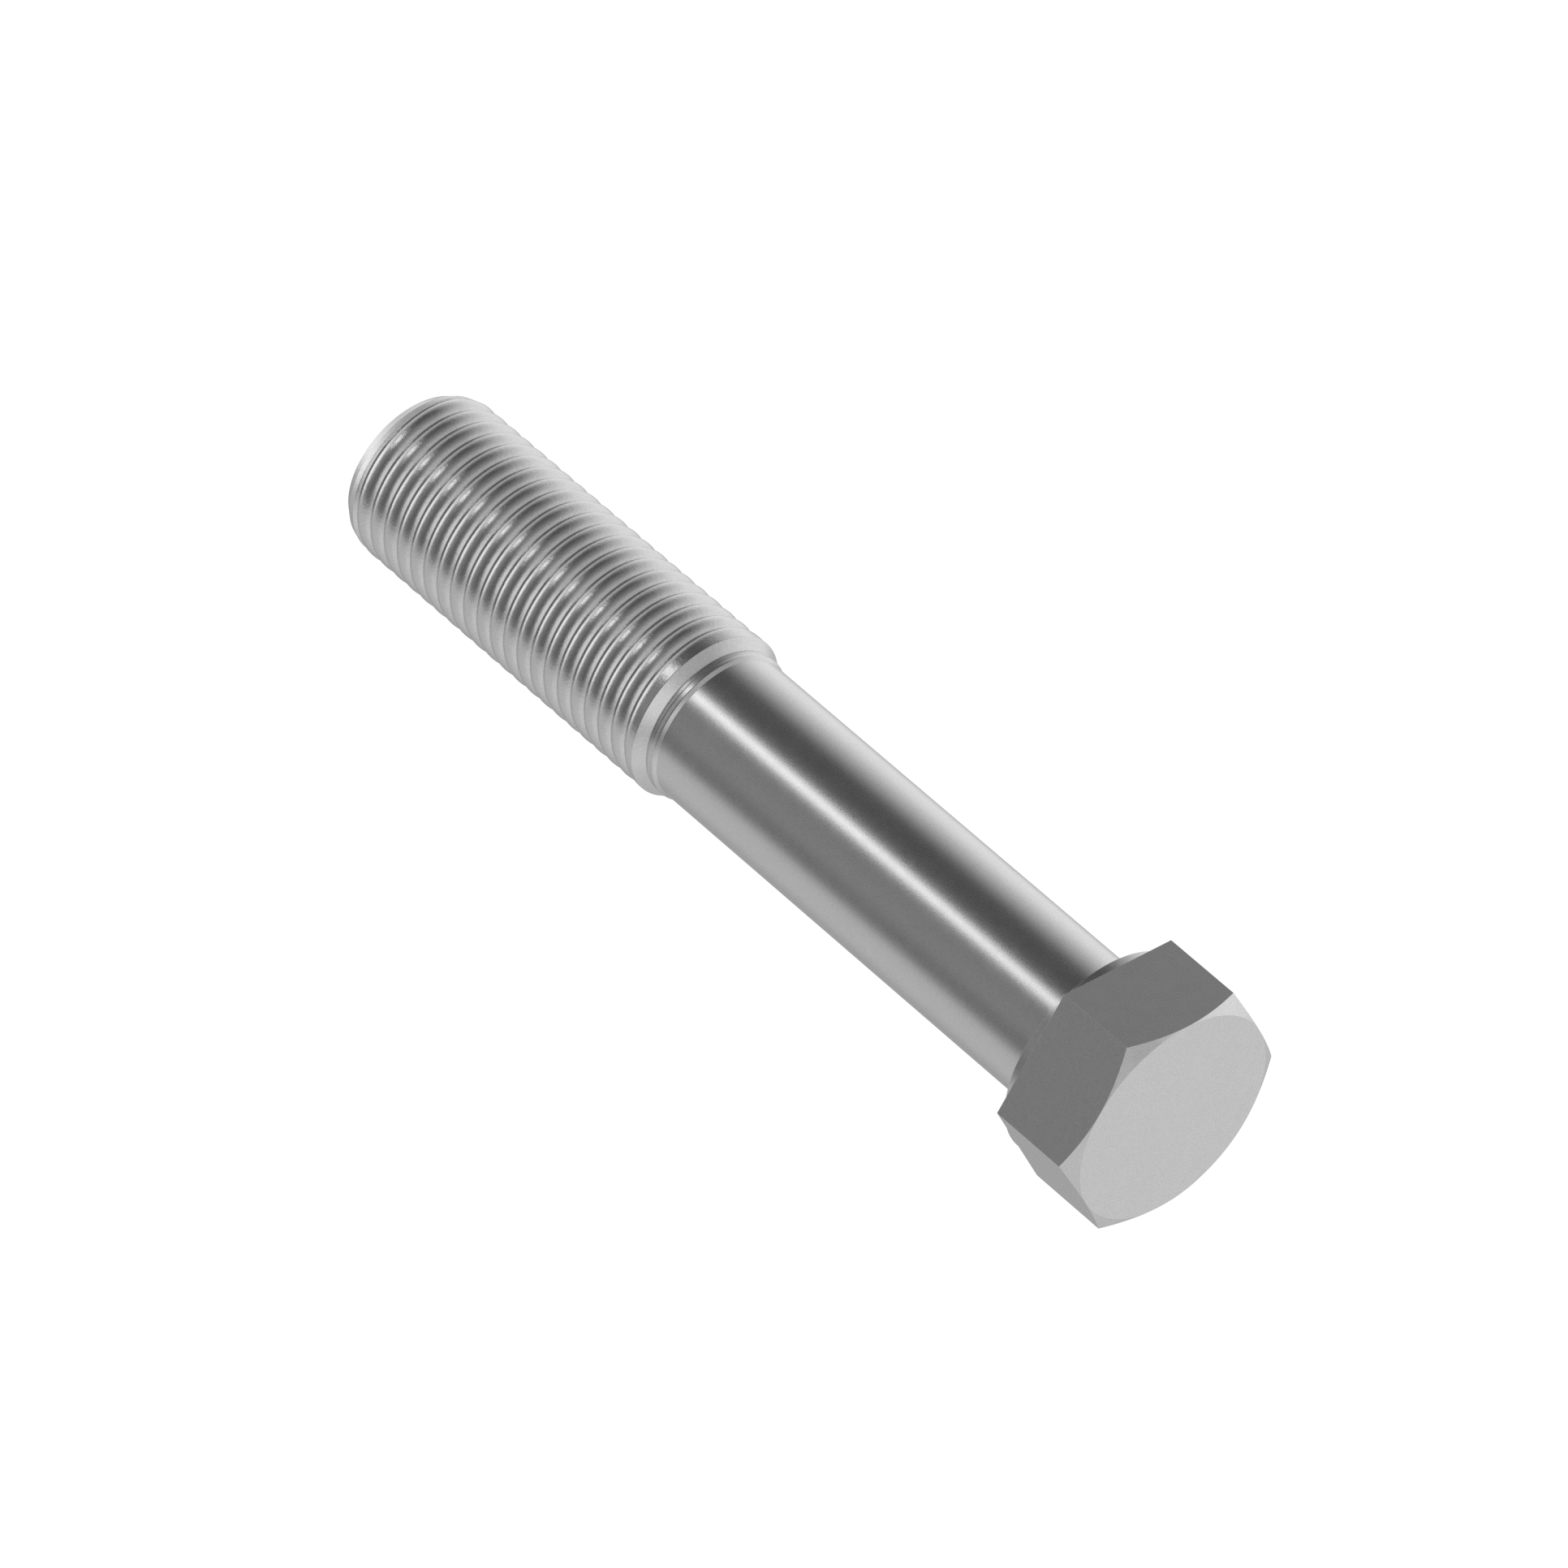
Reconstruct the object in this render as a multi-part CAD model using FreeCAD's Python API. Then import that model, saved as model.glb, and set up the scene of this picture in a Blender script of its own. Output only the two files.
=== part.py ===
import FreeCAD, Part
import math
import os

# Hex bolt, metric M27 x 3, 150 mm under the head, with a reduced plain shank.
# Millimetres. The bolt axis is X. The origin is the centre of the bearing face,
# the head stands on +X, the thread points along -X, and one flat of the hexagon
# faces up, along +Z.
#
# The real bolt is one forging. Its zones are written as separate solids that
# meet face to face: hex_head, washer_face, shank and thread.

# ---- driving dimensions -------------------------------------------------------
# overall
length_under_head = 150.0      # bearing face to the end of the point

# head
across_flats = 34.0
hexagon_height = 14.5          # underside of the hexagon to the top of the head
head_chamfer_angle = 30.0      # degrees, measured from the top face
head_top_inset = 0.05          # circle where the chamfer meets the top, inside the flats
washer_face_inset = 0.1        # round bearing face, inside the flats
washer_face_thickness = 1.35

# shank
shank_reduction = 3.2          # thread diameter less the shank's
head_fillet_radius = 1.7       # under the head, from the shank to the bearing face
land_reduction = 2.35          # thread diameter less that of the land beside it
land_length = 1.3
land_rise_angle = 30.0         # degrees from the axis, shank up to the land
land_edge = 0.35               # 45 degree edge where the land meets the thread's foot

# thread
thread_diameter = 27.0         # major diameter
thread_pitch = 3.0
thread_length = 65.6           # end of the point to the last full diameter
thread_half_angle = 30.0       # degrees, each flank from the radial direction
shoulder_angle = 47.0          # degrees from the axis, full diameter down to the foot

# point
point_end_reduction = 3.2      # thread diameter less the end face's
point_knee_reduction = 1.2     # thread diameter less that where the two cones meet
point_end_angle = 33.5         # degrees from the axis, end face to the knee
point_side_angle = 16.0        # degrees from the axis, knee to the full diameter

# run-out: the groove rises out of the metal over part of a turn at each end
head_runout_turns = 0.5
head_runout_land = 0.55        # plain metal between the groove's end and the shoulder
head_runout_angle = 39.0       # degrees about the axis where the groove ends
point_runout_turns = 1.0

# ---- worked out from them -----------------------------------------------------
ORIGIN = FreeCAD.Vector(0, 0, 0)
BOLT_AXIS = FreeCAD.Vector(1, 0, 0)
FULL_TURN = 2.0 * math.pi
point_x = -length_under_head
thread_end_x = point_x + thread_length
thread_radius = thread_diameter / 2.0
shank_radius = (thread_diameter - shank_reduction) / 2.0
land_radius = (thread_diameter - land_reduction) / 2.0
point_end_radius = (thread_diameter - point_end_reduction) / 2.0
point_knee_radius = (thread_diameter - point_knee_reduction) / 2.0
washer_radius = across_flats / 2.0 - washer_face_inset
head_top_radius = across_flats / 2.0 - head_top_inset
foot_radius = land_radius - land_edge
shoulder_length = (thread_radius - foot_radius) / math.tan(math.radians(shoulder_angle))
foot_x = thread_end_x + shoulder_length
fillet_end_x = -head_fillet_radius

# ISO metric profile: V height H, crest flat P/8, root rounded with H/6
v_height = thread_pitch / 2.0 / math.tan(math.radians(thread_half_angle))
root_rounding = v_height / 6.0
groove_depth = 17.0 / 24.0 * v_height
root_radius = thread_radius - groove_depth

# a cutter stands out of the metal by this much, so that it cuts clean
CUTTER_OVER = 0.25
CUTTER_CLEAR = 0.1
# its path is one smooth curve, and the cutter is made in half-turn lengths of it
PATH_POINTS_PER_TURN = 16
POINTS_PER_CUTTER = PATH_POINTS_PER_TURN // 2


def revolve(outline):
    """A solid of revolution about the bolt axis from (x, radius) corners."""
    corners = [FreeCAD.Vector(x, 0.0, radius) for x, radius in outline]
    face = Part.Face(Part.makePolygon(corners + corners[:1]))
    return face.revolve(ORIGIN, BOLT_AXIS, 360.0)


def hex_head():
    """The hexagon, with its corners turned off by one cone at the top."""
    low_x = washer_face_thickness
    top_x = washer_face_thickness + hexagon_height
    corner_radius = across_flats / 2.0 / math.cos(math.radians(30.0))
    corners = []
    for k in range(6):
        angle = math.radians(60.0 * k)
        y = corner_radius * math.cos(angle)
        z = corner_radius * math.sin(angle)
        corners.append(FreeCAD.Vector(low_x, y, z))
    base = Part.Face(Part.makePolygon(corners + corners[:1]))
    prism = base.extrude(FreeCAD.Vector(hexagon_height, 0, 0))

    envelope_radius = corner_radius + CUTTER_OVER
    drop = (envelope_radius - head_top_radius) * math.tan(math.radians(head_chamfer_angle))
    envelope = revolve([
        (low_x - CUTTER_OVER, 0.0),
        (low_x - CUTTER_OVER, envelope_radius),
        (top_x - drop, envelope_radius),
        (top_x, head_top_radius),
        (top_x, 0.0),
    ])
    return prism.common(envelope)


def washer_face():
    """The round bearing face under the hexagon, and the fillet down to the shank."""
    ring_radius = shank_radius + head_fillet_radius
    corners = [
        FreeCAD.Vector(fillet_end_x, 0, shank_radius),
        FreeCAD.Vector(fillet_end_x, 0, 0),
        FreeCAD.Vector(washer_face_thickness, 0, 0),
        FreeCAD.Vector(washer_face_thickness, 0, washer_radius),
        FreeCAD.Vector(0, 0, washer_radius),
        FreeCAD.Vector(0, 0, ring_radius),
    ]
    edges = [Part.LineSegment(a, b).toShape() for a, b in zip(corners, corners[1:])]
    reach = head_fillet_radius * math.cos(math.radians(45.0))
    middle = FreeCAD.Vector(fillet_end_x + reach, 0, ring_radius - reach)
    edges.append(Part.Arc(corners[-1], middle, corners[0]).toShape())
    face = Part.Face(Part.Wire(edges))
    return face.revolve(ORIGIN, BOLT_AXIS, 360.0)


def shank():
    """The plain shank, and the short land that it rises to beside the thread."""
    land_start_x = foot_x + land_edge
    land_end_x = land_start_x + land_length
    rise = (land_radius - shank_radius) / math.tan(math.radians(land_rise_angle))
    return revolve([
        (foot_x, 0.0),
        (foot_x, foot_radius),
        (land_start_x, land_radius),
        (land_end_x, land_radius),
        (land_end_x + rise, shank_radius),
        (fillet_end_x, shank_radius),
        (fillet_end_x, 0.0),
    ])


def thread_blank():
    """The threaded end before its groove is cut: point, full diameter, shoulder."""
    end_cone = (point_knee_radius - point_end_radius) / math.tan(math.radians(point_end_angle))
    side_cone = (thread_radius - point_knee_radius) / math.tan(math.radians(point_side_angle))
    knee_x = point_x + end_cone
    full_x = knee_x + side_cone
    return revolve([
        (point_x, 0.0),
        (point_x, point_end_radius),
        (knee_x, point_knee_radius),
        (full_x, thread_radius),
        (thread_end_x, thread_radius),
        (foot_x, foot_radius),
        (foot_x, 0.0),
    ])


def smooth_step(t):
    """0 to 1 with level ends, held at 0 and 1 outside them."""
    t = min(max(t, 0.0), 1.0)
    return t * t * (3.0 - 2.0 * t)


def groove_path():
    """The right-hand helix along the groove's bottom, rising out of the metal at both ends."""
    end_x = thread_end_x - head_runout_land
    end_angle = math.radians(head_runout_angle)
    turns = (end_x - point_x) / thread_pitch
    lift = groove_depth + CUTTER_CLEAR
    count = int(math.ceil(turns * PATH_POINTS_PER_TURN))
    points = []
    for k in range(count + 1):
        from_point = turns * k / count
        to_end = turns - from_point
        sunk = smooth_step(from_point / point_runout_turns) * smooth_step(to_end / head_runout_turns)
        radius = root_radius + lift * (1.0 - sunk)
        angle = end_angle - FULL_TURN * to_end
        x = end_x - thread_pitch * to_end
        points.append(FreeCAD.Vector(x, radius * math.cos(angle), radius * math.sin(angle)))
    path = Part.BSplineCurve()
    path.interpolate(points)
    return path


def groove_section(bottom, out):
    """The groove's cross-section: bottom is its deepest point, out points away from the axis."""
    half = math.radians(thread_half_angle)
    # where the round bottom runs into each flank
    touch_height = root_rounding * (1.0 - math.sin(half))
    touch_side = root_rounding * math.cos(half)
    top_height = groove_depth + CUTTER_OVER
    top_side = touch_side + (top_height - touch_height) * math.tan(half)

    def at(side, height):
        return bottom + BOLT_AXIS * side + out * height

    left_top = at(-top_side, top_height)
    left_touch = at(-touch_side, touch_height)
    right_touch = at(touch_side, touch_height)
    right_top = at(top_side, top_height)
    return Part.Wire([
        Part.LineSegment(left_top, left_touch).toShape(),
        Part.Arc(left_touch, bottom, right_touch).toShape(),
        Part.LineSegment(right_touch, right_top).toShape(),
        Part.LineSegment(right_top, left_top).toShape(),
    ])


def groove_cutter(path):
    """One length of the groove, swept with its section held in line with the axis."""
    along = path.tangent(path.FirstParameter)[0]
    out = FreeCAD.Vector(0, along.z, -along.y)
    out.normalize()
    sweep = Part.BRepOffsetAPI.MakePipeShell(Part.Wire(path.toShape()))
    sweep.setBiNormalMode(BOLT_AXIS)
    sweep.add(groove_section(path.value(path.FirstParameter), out), False, False)
    sweep.build()
    sweep.makeSolid()
    return sweep.shape()


def thread():
    """The threaded end with its helical groove, cut half a turn at a time."""
    path = groove_path()
    knots = path.getKnots()
    starts = list(range(0, len(knots) - 1 - POINTS_PER_CUTTER // 2, POINTS_PER_CUTTER))
    stops = starts[1:] + [len(knots) - 1]
    cutters = []
    for start, stop in zip(starts, stops):
        length = path.copy()
        length.segment(knots[start], knots[stop])
        cutters.append(groove_cutter(length))
    return thread_blank().cut(cutters)


os.makedirs("parts", exist_ok=True)
zones = {
    "hex_head": hex_head,
    "washer_face": washer_face,
    "shank": shank,
    "thread": thread,
}
for name, make in zones.items():
    shape = make()
    solid = shape.Solids[0]
    print(name, "solids", len(shape.Solids), "valid", shape.isValid(),
          "volume", round(solid.Volume, 1), "faces", len(solid.Faces))
    solid.exportStep("parts/" + name + ".step")
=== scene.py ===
import math

import bpy
from bpy.props import FloatProperty, FloatVectorProperty, IntProperty, PointerProperty
from mathutils import Matrix, Vector


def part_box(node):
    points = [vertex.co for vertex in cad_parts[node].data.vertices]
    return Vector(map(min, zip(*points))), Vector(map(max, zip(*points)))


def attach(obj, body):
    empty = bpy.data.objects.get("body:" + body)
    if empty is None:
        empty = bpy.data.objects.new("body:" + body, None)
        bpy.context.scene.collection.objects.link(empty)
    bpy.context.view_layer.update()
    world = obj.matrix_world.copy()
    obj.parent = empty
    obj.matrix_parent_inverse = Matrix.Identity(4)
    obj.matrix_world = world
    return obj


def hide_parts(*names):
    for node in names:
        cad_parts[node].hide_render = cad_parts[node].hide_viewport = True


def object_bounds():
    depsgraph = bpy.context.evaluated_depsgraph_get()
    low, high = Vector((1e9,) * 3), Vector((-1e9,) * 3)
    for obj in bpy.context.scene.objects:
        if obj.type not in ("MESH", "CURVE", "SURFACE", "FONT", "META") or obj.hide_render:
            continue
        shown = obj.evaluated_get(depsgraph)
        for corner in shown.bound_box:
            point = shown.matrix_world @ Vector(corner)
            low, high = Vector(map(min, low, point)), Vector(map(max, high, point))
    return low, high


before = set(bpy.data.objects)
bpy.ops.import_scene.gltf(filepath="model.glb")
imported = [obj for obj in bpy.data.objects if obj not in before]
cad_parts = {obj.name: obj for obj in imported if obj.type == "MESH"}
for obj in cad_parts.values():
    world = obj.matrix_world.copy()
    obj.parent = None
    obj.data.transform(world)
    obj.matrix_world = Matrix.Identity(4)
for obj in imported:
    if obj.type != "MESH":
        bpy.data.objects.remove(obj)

bl_info = {
    "name": "Hex bolt",
    "version": (1, 0, 0),
    "blender": (4, 5, 0),
    "location": "3D View > Sidebar > Hex bolt",
    "description": "Models a reduced-shank hex bolt around its CAD frame, and the studio it stands in",
    "category": "Object",
}

# ---- places and sizes that the frame gives (metres, bolt axis along X, head at +X) ----
CAD_LOW, CAD_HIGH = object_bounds()
HEAD_LOW, HEAD_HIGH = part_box("hex_head")
WASHER_LOW, WASHER_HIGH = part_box("washer_face")
SHANK_LOW, SHANK_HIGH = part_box("shank")
THREAD_LOW, THREAD_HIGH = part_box("thread")
BEARING_X = 0.0
ACROSS_FLATS = HEAD_HIGH.z - HEAD_LOW.z
FULL_TURN = 2.0 * math.pi
QUARTER_TURN = math.radians(90.0)
HEXAGON_HALF_SIDE = math.radians(30.0)   # half the angle that one side takes up
MM = 0.001

# ---- modelling -----------------------------------------------------------------------
SMOOTH_ANGLE = math.radians(30.0)        # edges sharper than this stay sharp
STRAIGHT = 1e-4                          # a corner that turns less than this isn't rounded
MERGE_DISTANCE = 0.001 * MM
BLANK_CLEAR = 0.02 * MM                  # the thread's blank stands off the ridge's crest
ENVELOPE_SHARE = 1.05                    # the head's envelope is wider than its corners
BEVEL_STEPS = 3                          # steps in the arc of each kind of rounding
EDGE_STEPS = 5
PROFILE_STEPS = 6
FILLET_STEPS = 12
FINE_EDGES = 4.0                         # the land's small edges, in edge roundings
HELIX_STEPS = (2, 3)                     # steps in a turn of the helix, as a share of around
TURNS_BEFORE = 1                         # whole turns of the rod past each end of the groove
TURNS_AFTER = 3

# ---- the steel -----------------------------------------------------------------------
MOTTLE_SIZE = 1.8 * MM
CLOUD_SIZE = 9.0 * MM
WAVE_SIZE = 0.6 * MM
GRAIN_ROUGH = 0.6
GRAIN_STOPS = (0.3, 0.7)                 # noise that gives the darkest and the lightest grain
GRAIN_TONE = 0.7                         # shares of each pattern in the colour
MOTTLE_TONE = 0.2
CLOUD_TONE = 0.1
DARK_SHARE = 0.86                        # darkest and lightest steel, as shares of its colour
LIGHT_SHARE = 1.13
MOTTLE_ROUGHNESS = 0.04
GRAIN_ROUGHNESS = 0.06
MEAN_ROUGHNESS = 0.05                    # what the two patterns add on average
THREAD_GRAIN = 2.4                       # the rolled thread's grain is deeper
THREAD_WAVES = 1.5

# ---- the room that the steel mirrors ---------------------------------------------------
# x, y and z are the parts of a unit direction from the bolt. Of each pair, a zone is
# absent up to the first and full from the second.
LEFT_WALL_Y = (-0.27, -0.9)
LEFT_WALL_LOW_Z = (0.14, -0.1)
LEFT_WALL_LOW_DIM = 0.5
LEFT_WALL_END_X = (-0.45, -0.1)
LEFT_WALL_END_DIM = 0.7
RIGHT_WALL_Y_LESS_Z = (-0.29, 0.72)
FRONT_WALL_X = (0.1, 0.8)
OVER_HEAD_X = (-0.42, 0.3)
OVER_HEAD_Y = (-0.9, 0.0)
OVER_HEAD_Z = (0.35, 0.8)
OVER_HEAD_GAIN = 0.28
STRIP_PLANE = (0.899, 0.438)             # y and z of the line square to the strip light
STRIP_GLOW_REACH = 0.3
STRIP_GLOW_X = (-0.42, -0.2)
STRIP_GLOW_GAIN = 0.2
POINT_WALL_X = (-0.67, -0.9)
POINT_WALL_Y_AND_Z = (-0.35, 0.5)
POINT_WALL_SIDE_DIM = 0.6
SOFTBOX_TOWARD = (0.8, -0.57, 0.2)
SOFTBOX_EDGE = (0.82, 0.97)
FAR_RIGHT_X = (0.1, 0.5)
FAR_RIGHT_Y = (0.2, 0.75)
FAR_RIGHT_SHARE = 0.85
GROUND_Z = (-0.22, -0.48)
GROUND_RISE_X = 0.1
SHADE_X = (0.4, -0.5)
SHADE_Y = (-0.38, 0.18)
SHADE_DIM = 0.36
GROUND_FAR_Y = (0.0, 0.6)
GROUND_FAR_GAIN = 0.12
GROUND_NEAR_X = (0.0, 0.3)
GROUND_NEAR_Y = (-0.25, -0.45)
GROUND_NEAR_Z = (-0.4, -0.8)
GROUND_NEAR_GAIN = 0.2
CORNER_X = (-0.62, -0.85)
CORNER_Y = (0.1, 0.35)
CORNER_DIM = 0.5

# ---- the stage -------------------------------------------------------------------------
STAGE_RADIUS = 4.0
STAGE_FACETS = 96
STAGE_RINGS = 48
STRIP_TOWARD = Vector((-0.585, -0.372, 0.762))
STRIP_REACH = 1.2
STRIP_LENGTH = 0.65
STRIP_WIDTH = 0.24
SENSOR_WIDTH = 36.0
CLIP_END = 20.0


def length(name, description, millimetres, precision=5):
    """A length to set, given in millimetres and kept in metres."""
    return FloatProperty(
        name=name, description=description, default=millimetres * MM,
        unit="LENGTH", precision=precision)


def angle(name, description, degrees):
    """An angle to set, given in degrees and kept in radians."""
    return FloatProperty(
        name=name, description=description, default=math.radians(degrees), subtype="ANGLE")


# ---- what a user would change ---------------------------------------------------------
class BoltSizes(bpy.types.PropertyGroup):
    head_chamfer: angle("Head chamfer", "Angle of the cone that turns the corners off", 30.0)
    head_top_inset: length("Head top inset", "Chamfer circle inside the flats, per side", 0.05)
    shank_diameter: length("Shank diameter", "Diameter of the plain shank", 23.8)
    land_length: length("Land length", "Length of the short land beside the thread", 1.3)
    land_rise: angle("Land rise", "Angle from the axis where the shank rises to the land", 36.0)
    land_edge: length(
        "Land edge", "How far the foot of the thread's shoulder lies below the land", 0.35)
    pitch: length("Pitch", "Thread pitch", 3.0)
    flank_angle: angle("Flank angle", "Each flank of the thread from the radial direction", 45.0)
    crest_width: length("Crest width", "Flat crest of the thread before it is rounded", 1.58)
    crest_round: length("Crest rounding", "Radius on the thread's crest", 1.9)
    root_round: length("Root rounding", "Radius in the thread's root", 0.12)
    thread_length: length("Thread length", "End of the point to the last full diameter", 65.6)
    shoulder_angle: angle(
        "Shoulder angle", "Thread's full diameter down to its foot, from the axis", 47.0)
    point_end_diameter: length("Point end", "Diameter of the flat end of the point", 23.8)
    point_knee_diameter: length("Point knee", "Diameter where the point's two cones meet", 25.8)
    point_end_angle: angle(
        "Point end cone", "Angle of the cone beside the flat end, from the axis", 33.5)
    point_side_angle: angle("Point side cone", "Angle of the cone up to the full diameter", 16.0)
    runout_land: length(
        "Run-out land", "Plain metal between the groove's end and the shoulder", 0.55)
    runout_angle: angle("Run-out angle", "Where the groove ends, about the axis from +Y", 39.0)
    runout_turns: FloatProperty(
        name="Run-out turns", description="Part of a turn over which the groove rises at the shoulder",
        default=0.5)
    point_turns: FloatProperty(
        name="Run-in turns", description="Part of a turn over which the groove sinks at the point",
        default=1.0)
    land_round: length("Land rounding", "Radius on the land's crown", 0.35)
    crease_place: length(
        "Crease place", "From the land's crown to the fine crease beside it", 0.72)
    crease_depth: length("Crease depth", "How far the crease lies below the crown", 0.1)
    bead_width: length("Bead width", "From the crease to the top of the small bead beside it", 0.2)
    bead_height: length("Bead height", "Height of that bead above the crease", 0.04)
    bead_fall: length("Bead fall", "How far the bead falls again toward the thread", 0.08)
    foot_edge: length("Foot edge", "Width of the small edge beside the shoulder's foot", 0.2)
    shoulder_round: length(
        "Shoulder rounding", "Radius between the full diameter and the shoulder", 0.25)
    edge_round: length("Edge rounding", "Radius left on the machined edges", 0.02)
    around: IntProperty(
        name="Facets around", description="Facets around every turned surface", default=192)


class BoltFinish(bpy.types.PropertyGroup):
    steel: FloatVectorProperty(
        name="Steel", description="Reflectance of the bare steel",
        default=(0.62, 0.62, 0.62), subtype="COLOR", size=3)
    roughness: FloatProperty(
        name="Roughness", description="Roughness of the satin surface", default=0.28)
    grain: length("Grain size", "Size of the satin grain", 0.17)
    grain_depth: length("Grain depth", "Height of the satin grain", 0.006, precision=6)


class BoltStudio(bpy.types.PropertyGroup):
    azimuth: angle("Camera azimuth", "Turn of the camera about the upright axis, from -Y", 44.759)
    elevation: angle("Camera elevation", "Height of the camera above the horizon", 41.221)
    roll: angle("Camera roll", "Turn of the camera about its own line of sight", 7.430)
    distance: FloatProperty(
        name="Camera distance", description="From the camera to the middle of the bolt",
        default=1.86563, unit="LENGTH", precision=4)
    lens: FloatProperty(
        name="Lens", description="Focal length in millimetres on a 36 mm sensor", default=304.784)
    white: FloatProperty(
        name="White", description="Brightness of the floor and the backdrop", default=1.05)
    ceiling: FloatProperty(
        name="Ceiling", description="Brightness of the dark ceiling", default=0.1)
    left_wall: FloatProperty(
        name="Left wall", description="Brightness of the wall on the camera's side", default=0.385)
    right_wall: FloatProperty(
        name="Right wall", description="Brightness of the wall behind the bolt", default=1.37)
    front_wall: FloatProperty(
        name="Front wall", description="Brightness of the wall that the head faces", default=0.55)
    point_wall: FloatProperty(
        name="Point wall", description="Brightness of the wall that the point faces", default=1.9)
    softbox: FloatProperty(
        name="Softbox", description="Brightness of the softbox that stands before the head", default=1.3)
    ground: FloatProperty(
        name="Ground", description="Brightness of the room below the bolt", default=0.88)
    strip: FloatProperty(
        name="Strip light", description="Power of the long strip light overhead", default=1.06)


# ---- mesh helpers ---------------------------------------------------------------------
def deselect():
    """Leaves nothing selected."""
    bpy.ops.object.select_all(action="DESELECT")


def soften(outline, radii, steps=BEVEL_STEPS):
    """The outline with an arc of its own radius in each inner corner; 0 leaves it sharp."""
    points = [Vector(p) for p in outline]
    result = [points[0]]
    for before, corner, after, radius in zip(points, points[1:], points[2:], radii):
        back, ahead = before - corner, after - corner
        turn = math.pi - back.angle(ahead)
        if radius == 0.0 or turn < STRAIGHT:
            result.append(corner)
            continue
        reach = radius * math.tan(turn / 2.0)
        start = corner + back.normalized() * reach
        middle_line = (back.normalized() + ahead.normalized()).normalized()
        centre = corner + middle_line * (radius / math.cos(turn / 2.0))
        arm = start - centre
        side = 1.0 if back.x * ahead.y - back.y * ahead.x < 0.0 else -1.0
        for k in range(steps + 1):
            result.append(centre + Matrix.Rotation(side * turn * k / steps, 2) @ arm)
    result.append(points[-1])
    return result


def lathe(name, outline, facets):
    """A solid turned about the bolt axis, from (x, radius) points between its two end faces."""
    deselect()
    x, radius = outline[0]
    bpy.ops.mesh.primitive_circle_add(
        vertices=facets, radius=radius, fill_type="NGON",
        location=(x, 0.0, 0.0), rotation=(0.0, QUARTER_TURN, 0.0))
    piece = bpy.context.object
    piece.name = piece.data.name = name
    bpy.ops.object.transform_apply(location=True, rotation=True, scale=True)
    bpy.ops.object.mode_set(mode="EDIT")
    bpy.ops.mesh.select_mode(type="FACE")
    bpy.ops.mesh.select_all(action="SELECT")
    for next_x, next_radius in outline[1:]:
        bpy.ops.mesh.extrude_region_move(TRANSFORM_OT_translate={"value": (next_x - x, 0.0, 0.0)})
        grow = next_radius / radius
        bpy.ops.transform.resize(value=(1.0, grow, grow), center_override=(next_x, 0.0, 0.0))
        x, radius = next_x, next_radius
    face_outward()
    return piece


def chain(name, outline):
    """A line of edges through (x, radius) points, for a screw modifier to turn."""
    deselect()
    bpy.ops.mesh.primitive_plane_add(size=MM, location=(0.0, 0.0, 0.0))
    piece = bpy.context.object
    piece.name = piece.data.name = name
    bpy.ops.object.mode_set(mode="EDIT")
    bpy.ops.mesh.select_mode(type="VERT")
    bpy.ops.mesh.select_all(action="SELECT")
    bpy.ops.mesh.merge(type="CENTER")
    x, radius = outline[0]
    bpy.ops.transform.translate(value=(x, radius, 0.0))
    for next_x, next_radius in outline[1:]:
        bpy.ops.mesh.extrude_vertices_move(
            TRANSFORM_OT_translate={"value": (next_x - x, next_radius - radius, 0.0)})
        x, radius = next_x, next_radius
    bpy.ops.object.mode_set(mode="OBJECT")
    return piece


def face_outward():
    """From edit mode: every face is turned outward, and the object is left in object mode."""
    bpy.ops.mesh.select_all(action="SELECT")
    bpy.ops.mesh.normals_make_consistent(inside=False)
    bpy.ops.object.mode_set(mode="OBJECT")


def only(piece):
    """Makes the piece the one selected and active object."""
    deselect()
    piece.select_set(True)
    bpy.context.view_layer.objects.active = piece


def keep_within(piece, envelope):
    """Cuts away what stands outside the envelope, which is used up."""
    only(piece)
    cut = piece.modifiers.new("Envelope", "BOOLEAN")
    cut.operation = "INTERSECT"
    cut.solver = "EXACT"
    cut.object = envelope
    bpy.ops.object.modifier_apply(modifier=cut.name)
    bpy.data.objects.remove(envelope)


def finish_piece(piece, node, material):
    """Smooth shading, the steel, and the piece's place in the frame."""
    only(piece)
    bpy.ops.object.shade_smooth_by_angle(angle=SMOOTH_ANGLE)
    even = piece.modifiers.new("Flat faces stay flat", "WEIGHTED_NORMAL")
    even.keep_sharp = True
    bpy.ops.object.modifier_apply(modifier=even.name)
    piece.data.materials.clear()
    piece.data.materials.append(material)
    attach(piece, "root")
    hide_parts(node)


# ---- shader maths ---------------------------------------------------------------------
class Value:
    """A number socket that Python's operators turn into Math nodes."""

    def __init__(self, shader, socket):
        self.shader = shader
        self.socket = socket

    def _math(self, operation, a, b):
        return self.shader.node("ShaderNodeMath", {"operation": operation}, {0: a, 1: b})

    def __add__(self, other):
        return self._math("ADD", self, other)

    def __radd__(self, other):
        return self._math("ADD", other, self)

    def __sub__(self, other):
        return self._math("SUBTRACT", self, other)

    def __rsub__(self, other):
        return self._math("SUBTRACT", other, self)

    def __mul__(self, other):
        return self._math("MULTIPLY", self, other)

    def __rmul__(self, other):
        return self._math("MULTIPLY", other, self)


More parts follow.
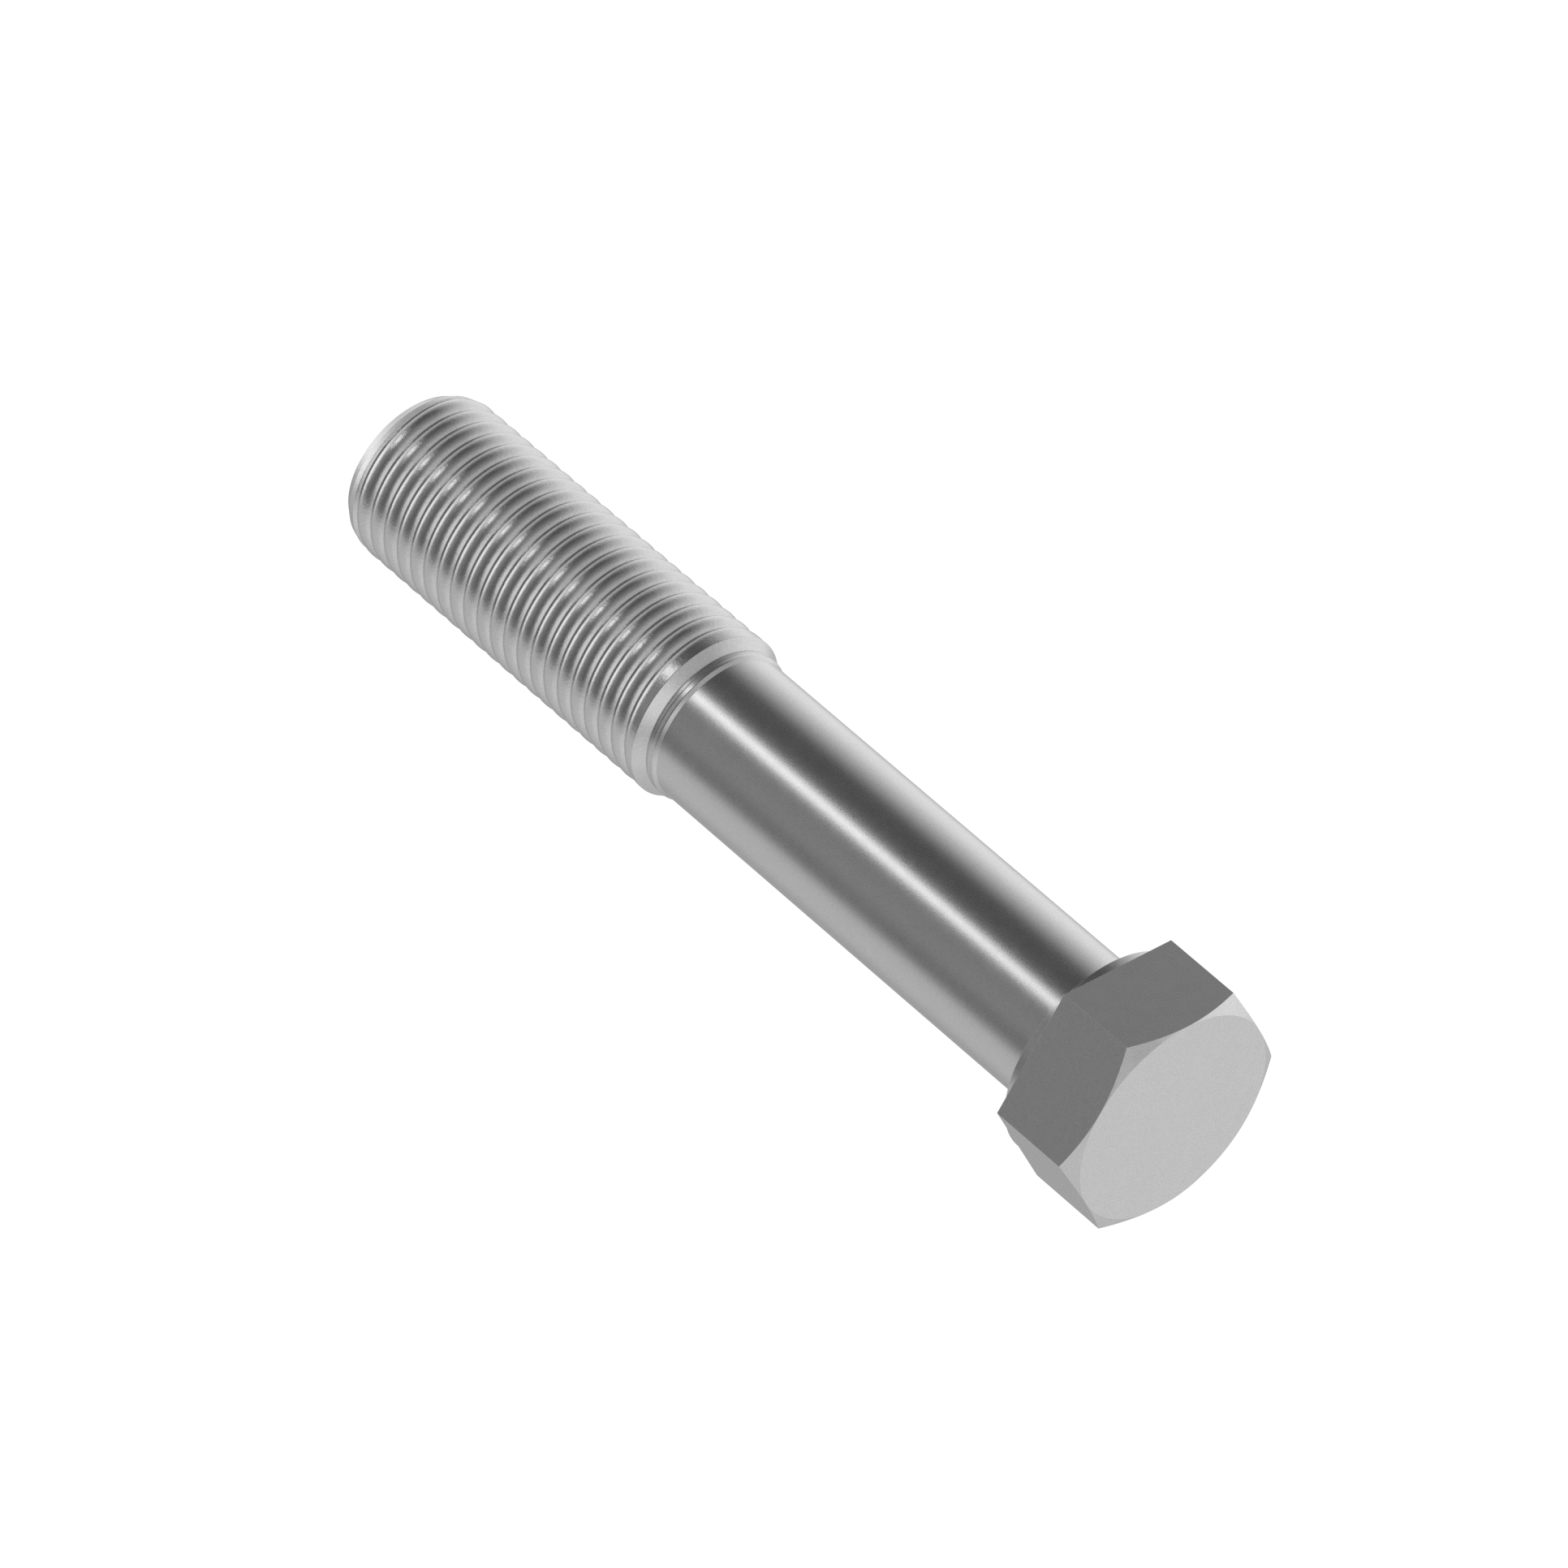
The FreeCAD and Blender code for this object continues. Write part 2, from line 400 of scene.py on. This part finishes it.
class Shader:
    """Builds the nodes of one material or world."""

    def __init__(self, owner):
        owner.use_nodes = True
        self.tree = owner.node_tree
        self.tree.nodes.clear()

    def node(self, kind, settings, inputs, output=0):
        """Adds a node: its settings first, then a value or a link for each named socket."""
        made = self.tree.nodes.new(kind)
        for name, value in settings.items():
            setattr(made, name, value)
        for name, value in inputs.items():
            if isinstance(value, Value):
                self.tree.links.new(value.socket, made.inputs[name])
            else:
                made.inputs[name].default_value = value
        return Value(self, made.outputs[output]) if made.outputs else None

    def ramp(self, value, low, high, shape="SMOOTHSTEP"):
        """0 at low, 1 at high and held outside them; low may be the greater."""
        return self.node(
            "ShaderNodeMapRange", {"interpolation_type": shape},
            {"Value": value, "From Min": low, "From Max": high})

    def brighter(self, a, b):
        """The greater of two numbers."""
        return self.node("ShaderNodeMath", {"operation": "MAXIMUM"}, {0: a, 1: b})

    def noise(self, place, size, detail, rough=0.5):
        """Even noise whose features are about size metres."""
        return self.node(
            "ShaderNodeTexNoise", {},
            {"Vector": place, "Scale": 1.0 / size, "Detail": detail, "Roughness": rough})

    def mix(self, factor, a, b):
        """A blend of two colours."""
        made = self.tree.nodes.new("ShaderNodeMix")
        made.data_type = "RGBA"
        sockets = {"Factor_Float": factor, "A_Color": a, "B_Color": b}
        for socket in made.inputs:
            if socket.identifier in sockets:
                value = sockets[socket.identifier]
                if isinstance(value, Value):
                    self.tree.links.new(value.socket, socket)
                else:
                    socket.default_value = value
        return Value(self, [o for o in made.outputs if o.identifier == "Result_Color"][0])


def grey(colour, share):
    """The colour times a share, with its alpha."""
    return (colour[0] * share, colour[1] * share, colour[2] * share, 1.0)


def satin_steel(name, finish, depth=1.0, waviness=0.0):
    """Fine satin steel: an even blasted grain, a soft mottle and slight colour variation."""
    material = bpy.data.materials.new(name)
    shader = Shader(material)
    place = shader.node("ShaderNodeTexCoord", {}, {}, "Object")
    grain = shader.noise(place, finish.grain, 2.0, GRAIN_ROUGH)
    mottle = shader.noise(place, MOTTLE_SIZE, 3.0)
    cloud = shader.noise(place, CLOUD_SIZE, 2.0)
    tone = shader.ramp(grain, *GRAIN_STOPS) * GRAIN_TONE + mottle * MOTTLE_TONE + cloud * CLOUD_TONE
    colour = shader.mix(tone, grey(finish.steel, DARK_SHARE), grey(finish.steel, LIGHT_SHARE))
    least_rough = finish.roughness - MEAN_ROUGHNESS
    roughness = mottle * MOTTLE_ROUGHNESS + (grain * GRAIN_ROUGHNESS + least_rough)
    height = grain
    if waviness:
        height = grain + waviness * shader.noise(place, WAVE_SIZE, 2.0)
    normal = shader.node("ShaderNodeBump", {}, {
        "Strength": 1.0, "Distance": finish.grain_depth * depth, "Height": height})
    surface = shader.node("ShaderNodeBsdfPrincipled", {}, {
        "Base Color": colour, "Metallic": 1.0, "Roughness": roughness, "Normal": normal})
    shader.node("ShaderNodeOutputMaterial", {}, {"Surface": surface})
    return material


# ---- the pieces -----------------------------------------------------------------------
class BOLT_OT_hex_head(bpy.types.Operator):
    """Model the hexagon, its corners turned off by a cone at the top"""
    bl_idname = "bolt.hex_head"
    bl_label = "Hexagon head"

    def execute(self, context):
        sizes = context.scene.bolt_sizes
        corner_radius = ACROSS_FLATS / 2.0 / math.cos(HEXAGON_HALF_SIDE)
        height = HEAD_HIGH.x - HEAD_LOW.x
        deselect()
        bpy.ops.mesh.primitive_cylinder_add(
            vertices=6, radius=corner_radius, depth=height,
            location=(HEAD_LOW.x + height / 2.0, 0.0, 0.0), rotation=(0.0, QUARTER_TURN, 0.0))
        head = context.object
        head.name = head.data.name = "forged_hex_head"
        bpy.ops.object.transform_apply(location=True, rotation=True, scale=True)
        for edge in head.data.edges:
            ends = [head.data.vertices[k].co for k in edge.vertices]
            edge.select = min(p.x for p in ends) < HEAD_LOW.x + height / 2.0
        bpy.ops.object.mode_set(mode="EDIT")
        bpy.ops.mesh.select_mode(type="EDGE")
        bpy.ops.mesh.bevel(offset=sizes.edge_round, segments=BEVEL_STEPS, affect="EDGES")
        face_outward()

        top_radius = ACROSS_FLATS / 2.0 - sizes.head_top_inset
        wide_radius = corner_radius * ENVELOPE_SHARE
        drop = (wide_radius - top_radius) * math.tan(sizes.head_chamfer)
        outline = soften([
            (HEAD_LOW.x - height, wide_radius),
            (HEAD_HIGH.x - drop, wide_radius),
            (HEAD_HIGH.x, top_radius),
            (HEAD_HIGH.x, top_radius / 2.0),
        ], [0.0, sizes.edge_round])
        keep_within(head, lathe("head_envelope", outline, sizes.around))
        steel = satin_steel("Head steel", context.scene.bolt_finish)
        finish_piece(head, "hex_head", steel)
        return {"FINISHED"}


class BOLT_OT_washer_face(bpy.types.Operator):
    """Model the round bearing face under the hexagon and its fillet down to the shank"""
    bl_idname = "bolt.washer_face"
    bl_label = "Washer face"

    def execute(self, context):
        sizes = context.scene.bolt_sizes
        fillet = BEARING_X - WASHER_LOW.x
        shank_radius = sizes.shank_diameter / 2.0
        outline = soften([
            (WASHER_HIGH.x, WASHER_HIGH.z),
            (BEARING_X, WASHER_HIGH.z),
            (BEARING_X, shank_radius),
            (WASHER_LOW.x, shank_radius),
        ], [sizes.edge_round, fillet], FILLET_STEPS)
        washer = lathe("turned_washer_face", outline, sizes.around)
        steel = satin_steel("Washer steel", context.scene.bolt_finish)
        finish_piece(washer, "washer_face", steel)
        return {"FINISHED"}


class BOLT_OT_shank(bpy.types.Operator):
    """Model the plain shank and the short land that it rises to beside the thread"""
    bl_idname = "bolt.shank"
    bl_label = "Shank"

    def execute(self, context):
        sizes = context.scene.bolt_sizes
        shank_radius = sizes.shank_diameter / 2.0
        land_radius = SHANK_HIGH.z
        crown_x = SHANK_LOW.x + sizes.land_edge + sizes.land_length
        rise_end = crown_x + (land_radius - shank_radius) / math.tan(sizes.land_rise)
        crease_x = crown_x - sizes.crease_place
        crease_radius = land_radius - sizes.crease_depth
        bead_radius = crease_radius + sizes.bead_height
        fine = FINE_EDGES * sizes.edge_round
        outline = soften([
            (SHANK_HIGH.x, shank_radius),
            (rise_end, shank_radius),
            (crown_x, land_radius),
            (crease_x, crease_radius),
            (crease_x - sizes.bead_width, bead_radius),
            (SHANK_LOW.x + sizes.foot_edge, bead_radius - sizes.bead_fall),
            (SHANK_LOW.x, land_radius - sizes.land_edge),
        ], [fine, sizes.land_round, fine, fine, fine], EDGE_STEPS)
        shank = lathe("turned_shank", outline, sizes.around)
        steel = satin_steel("Shank steel", context.scene.bolt_finish)
        finish_piece(shank, "shank", steel)
        return {"FINISHED"}


class BOLT_OT_thread(bpy.types.Operator):
    """Model the threaded end: a right-hand ridge, the shoulder and the chamfered point"""
    bl_idname = "bolt.thread"
    bl_label = "Thread"

    def execute(self, context):
        sizes = context.scene.bolt_sizes
        crest = THREAD_HIGH.z
        thread = self.helical_ridge(sizes, crest)
        self.run_out(thread, sizes, crest)
        keep_within(thread, self.blank(sizes, crest))
        steel = satin_steel("Thread steel", context.scene.bolt_finish, THREAD_GRAIN, THREAD_WAVES)
        finish_piece(thread, "thread", steel)
        return {"FINISHED"}

    def groove_end_x(self, sizes):
        """Where the groove has risen out of the metal, beside the shoulder."""
        return THREAD_LOW.x + sizes.thread_length - sizes.runout_land

    def helical_ridge(self, sizes, crest):
        """A rod with the thread's profile, a little longer than the thread, closed by flat ends."""
        half_groove = (sizes.pitch - sizes.crest_width) / 2.0
        vee_bottom = crest - half_groove / math.tan(sizes.flank_angle)
        profile = soften([
            (-sizes.pitch / 2.0, crest),
            (-half_groove, crest),
            (0.0, vee_bottom),
            (half_groove, crest),
            (sizes.pitch / 2.0, crest),
        ], [sizes.crest_round, sizes.root_round, sizes.crest_round], PROFILE_STEPS)
        end_x = self.groove_end_x(sizes)
        turns_below = math.ceil((end_x - THREAD_LOW.x) / sizes.pitch) + TURNS_BEFORE
        first_x = end_x - sizes.pitch * (sizes.runout_angle / FULL_TURN + turns_below)
        thread = chain("rolled_thread", [(first_x + x, radius) for x, radius in profile])
        screw = thread.modifiers.new("Helix", "SCREW")
        screw.axis = "X"
        screw.angle = FULL_TURN
        screw.screw_offset = sizes.pitch
        screw.iterations = turns_below + TURNS_AFTER
        screw.steps = screw.render_steps = sizes.around * HELIX_STEPS[0] // HELIX_STEPS[1]
        screw.use_merge_vertices = True
        screw.merge_threshold = MERGE_DISTANCE
        bpy.ops.object.modifier_apply(modifier=screw.name)
        bpy.ops.object.mode_set(mode="EDIT")
        bpy.ops.mesh.select_all(action="SELECT")
        bpy.ops.mesh.remove_doubles(threshold=MERGE_DISTANCE)
        over = sizes.pitch / 2.0
        for x, side in ((THREAD_LOW.x - over, "clear_inner"), (THREAD_HIGH.x + over, "clear_outer")):
            bpy.ops.mesh.select_all(action="SELECT")
            bpy.ops.mesh.bisect(
                plane_co=(x, 0.0, 0.0), plane_no=(1.0, 0.0, 0.0), use_fill=True, **{side: True})
        face_outward()
        return thread

    def run_out(self, thread, sizes, crest):
        """Raises the groove out of the metal at both ends, as a function of the turn it is on."""
        def level(t):
            t = min(max(t, 0.0), 1.0)
            return t * t * (3.0 - 2.0 * t)

        end_x = self.groove_end_x(sizes)
        turns = (end_x - THREAD_LOW.x) / sizes.pitch
        for vertex in thread.data.vertices:
            x, y, z = vertex.co
            radius = math.hypot(y, z)
            back = ((sizes.runout_angle - math.atan2(z, y)) / FULL_TURN) % 1.0
            to_end = back + round((end_x - x) / sizes.pitch - back)
            sunk = level(to_end / sizes.runout_turns) * level((turns - to_end) / sizes.point_turns)
            if radius > 0.0:
                wanted = crest - (crest - radius) * sunk
                vertex.co = (x, y * wanted / radius, z * wanted / radius)

    def blank(self, sizes, crest):
        """The threaded end as it was before rolling: point, full diameter and shoulder."""
        blank_radius = crest + BLANK_CLEAR
        end_radius = sizes.point_end_diameter / 2.0
        knee_radius = sizes.point_knee_diameter / 2.0
        knee_x = THREAD_LOW.x + (knee_radius - end_radius) / math.tan(sizes.point_end_angle)
        full_x = knee_x + (blank_radius - knee_radius) / math.tan(sizes.point_side_angle)
        foot_radius = SHANK_HIGH.z - sizes.land_edge
        shoulder = (blank_radius - foot_radius) / math.tan(sizes.shoulder_angle)
        outline = soften([
            (THREAD_LOW.x, end_radius / 2.0),
            (THREAD_LOW.x, end_radius),
            (knee_x, knee_radius),
            (full_x, blank_radius),
            (THREAD_HIGH.x - shoulder, blank_radius),
            (THREAD_HIGH.x, foot_radius),
            (THREAD_HIGH.x, foot_radius / 2.0),
        ], [sizes.edge_round, sizes.edge_round, 0.0, sizes.shoulder_round, 0.0], EDGE_STEPS)
        return lathe("thread_blank", outline, sizes.around)


# ---- the studio -----------------------------------------------------------------------
class BOLT_OT_studio(bpy.types.Operator):
    """Set up the pale floor, the backdrop, the light and the camera"""
    bl_idname = "bolt.studio"
    bl_label = "Studio"

    def execute(self, context):
        studio = context.scene.bolt_studio
        centre = (CAD_LOW + CAD_HIGH) / 2.0
        context.scene.view_settings.view_transform = "Standard"
        self.floor_and_backdrop(studio)
        self.room(context.scene, studio)
        self.strip_light(studio, centre)
        self.camera(context.scene, studio, centre)
        return {"FINISHED"}

    def floor_and_backdrop(self, studio):
        """A white floor disc and a white dome; the steel doesn't mirror them, only the room."""
        material = bpy.data.materials.new("Studio white")
        shader = Shader(material)
        glow = shader.node("ShaderNodeEmission", {}, {
            "Color": (1.0, 1.0, 1.0, 1.0), "Strength": studio.white})
        shader.node("ShaderNodeOutputMaterial", {}, {"Surface": glow})
        deselect()
        bpy.ops.mesh.primitive_circle_add(
            vertices=STAGE_FACETS, radius=STAGE_RADIUS, fill_type="NGON",
            location=(0.0, 0.0, CAD_LOW.z))
        floor = bpy.context.object
        floor.name = "floor"
        deselect()
        bpy.ops.mesh.primitive_uv_sphere_add(
            segments=STAGE_FACETS, ring_count=STAGE_RINGS, radius=STAGE_RADIUS,
            location=(0.0, 0.0, CAD_LOW.z))
        backdrop = bpy.context.object
        backdrop.name = "backdrop"
        for stand in (floor, backdrop):
            stand.data.materials.append(material)
            stand.visible_glossy = False
            stand.visible_diffuse = False
            stand.visible_shadow = False

    def room(self, scene, studio):
        """The soft grey room that the steel mirrors, as a brightness for each direction."""
        world = bpy.data.worlds.new("Studio room")
        scene.world = world
        shader = Shader(world)
        direction = shader.node("ShaderNodeTexCoord", {}, {}, "Generated")
        toward = [shader.node("ShaderNodeSeparateXYZ", {}, {0: direction}, axis) for axis in "XYZ"]
        below = shader.ramp(toward[2], *GROUND_Z)
        upper = self.walls(shader, studio, *toward)
        lower = self.ground(shader, studio, *toward)
        light = upper * (1.0 - below) + lower * below
        glow = shader.node("ShaderNodeBackground", {}, {"Strength": light})
        shader.node("ShaderNodeOutputWorld", {}, {"Surface": glow})

    def walls(self, shader, studio, x, y, z):
        """Brightness above the ground: the dark ceiling, the walls and the softbox."""
        left = shader.ramp(y, *LEFT_WALL_Y)
        left = left * (1.0 - LEFT_WALL_LOW_DIM * shader.ramp(z, *LEFT_WALL_LOW_Z))
        left = left * (1.0 - LEFT_WALL_END_DIM * shader.ramp(x, *LEFT_WALL_END_X))
        right = shader.ramp(y - z, *RIGHT_WALL_Y_LESS_Z, "LINEAR")
        upper = (studio.ceiling + left * (studio.left_wall - studio.ceiling)
                 + right * (studio.right_wall - studio.ceiling))
        upper = shader.brighter(upper, shader.ramp(x, *FRONT_WALL_X) * studio.front_wall)

        over_head = (shader.ramp(x, *OVER_HEAD_X, "LINEAR") * shader.ramp(z, *OVER_HEAD_Z)
                     * shader.ramp(y, *OVER_HEAD_Y))
        upper = upper + over_head * OVER_HEAD_GAIN

        from_strip = STRIP_PLANE[0] * y + STRIP_PLANE[1] * z
        glow = (shader.ramp(from_strip, -STRIP_GLOW_REACH, 0.0)
                * shader.ramp(from_strip, STRIP_GLOW_REACH, 0.0))
        upper = upper + glow * shader.ramp(x, *STRIP_GLOW_X) * STRIP_GLOW_GAIN

        point_side = 1.0 - POINT_WALL_SIDE_DIM * shader.ramp(y + z, *POINT_WALL_Y_AND_Z)
        point = shader.ramp(x, *POINT_WALL_X) * point_side
        upper = shader.brighter(upper, point * studio.point_wall)

        box_x, box_y, box_z = SOFTBOX_TOWARD
        softbox = shader.ramp(box_x * x + box_y * y + box_z * z, *SOFTBOX_EDGE)
        far_right = shader.ramp(x, *FAR_RIGHT_X) * shader.ramp(y, *FAR_RIGHT_Y)
        boxes = shader.brighter(softbox, FAR_RIGHT_SHARE * far_right)
        return shader.brighter(upper, boxes * studio.softbox)

    def ground(self, shader, studio, x, y, z):
        """Brightness of the ground: the bolt's soft shade on it, and where it is lighter or darker."""
        shade = shader.ramp(y, *SHADE_Y) * shader.ramp(x, *SHADE_X)
        level = (studio.ground + GROUND_RISE_X * x) * (1.0 - SHADE_DIM * shade)
        level = level + GROUND_FAR_GAIN * shader.ramp(y, *GROUND_FAR_Y)
        near = (shader.ramp(x, *GROUND_NEAR_X) * shader.ramp(y, *GROUND_NEAR_Y)
                * shader.ramp(z, *GROUND_NEAR_Z))
        level = level + GROUND_NEAR_GAIN * near
        corner = shader.ramp(x, *CORNER_X) * shader.ramp(y, *CORNER_Y)
        return level * (1.0 - CORNER_DIM * corner)

    def strip_light(self, studio, centre):
        """A long strip softbox above the bolt, a little toward the camera, in line with it."""
        lamp = bpy.data.lights.new("strip", "AREA")
        lamp.shape = "RECTANGLE"
        lamp.size = STRIP_LENGTH
        lamp.size_y = STRIP_WIDTH
        lamp.energy = studio.strip
        strip = bpy.data.objects.new("strip", lamp)
        bpy.context.scene.collection.objects.link(strip)
        strip.location = centre + STRIP_TOWARD * STRIP_REACH
        across = Vector((1.0, 0.0, 0.0))
        back = STRIP_TOWARD.normalized()
        side = back.cross(across).normalized()
        along = side.cross(back).normalized()
        strip.rotation_mode = "QUATERNION"
        strip.rotation_quaternion = Matrix((along, side, back)).transposed().to_quaternion()

    def camera(self, scene, studio, centre):
        """A long-lens camera that looks at the middle of the bolt."""
        flat = math.cos(studio.elevation)
        back = Vector((
            math.sin(studio.azimuth) * flat,
            -math.cos(studio.azimuth) * flat,
            math.sin(studio.elevation)))
        lens = bpy.data.cameras.new("camera")
        lens.lens = studio.lens
        lens.sensor_width = SENSOR_WIDTH
        lens.clip_end = CLIP_END
        camera = bpy.data.objects.new("camera", lens)
        scene.collection.objects.link(camera)
        camera.location = centre + back * studio.distance
        level = (-back).to_track_quat("-Z", "Y").to_matrix()
        camera.rotation_mode = "QUATERNION"
        camera.rotation_quaternion = (level @ Matrix.Rotation(studio.roll, 3, "Z")).to_quaternion()
        scene.camera = camera


class BOLT_PT_panel(bpy.types.Panel):
    bl_idname = "BOLT_PT_panel"
    bl_label = "Hex bolt"
    bl_space_type = "VIEW_3D"
    bl_region_type = "UI"
    bl_category = "Hex bolt"

    def draw(self, context):
        scene = context.scene
        for operator in OPERATORS:
            self.layout.operator(operator.bl_idname)
        for group in (scene.bolt_sizes, scene.bolt_finish, scene.bolt_studio):
            box = self.layout.box()
            for name in group.__annotations__:
                box.prop(group, name)


OPERATORS = (BOLT_OT_studio, BOLT_OT_hex_head, BOLT_OT_washer_face, BOLT_OT_shank, BOLT_OT_thread)
CLASSES = (BoltSizes, BoltFinish, BoltStudio) + OPERATORS + (BOLT_PT_panel,)


def register():
    for each in CLASSES:
        bpy.utils.register_class(each)
    bpy.types.Scene.bolt_sizes = PointerProperty(type=BoltSizes)
    bpy.types.Scene.bolt_finish = PointerProperty(type=BoltFinish)
    bpy.types.Scene.bolt_studio = PointerProperty(type=BoltStudio)


def unregister():
    del bpy.types.Scene.bolt_studio
    del bpy.types.Scene.bolt_finish
    del bpy.types.Scene.bolt_sizes
    for each in reversed(CLASSES):
        bpy.utils.unregister_class(each)


def main():
    register()
    bpy.ops.bolt.studio()
    bpy.ops.bolt.hex_head()
    bpy.ops.bolt.washer_face()
    bpy.ops.bolt.shank()
    bpy.ops.bolt.thread()


if __name__ == "__main__":
    main()
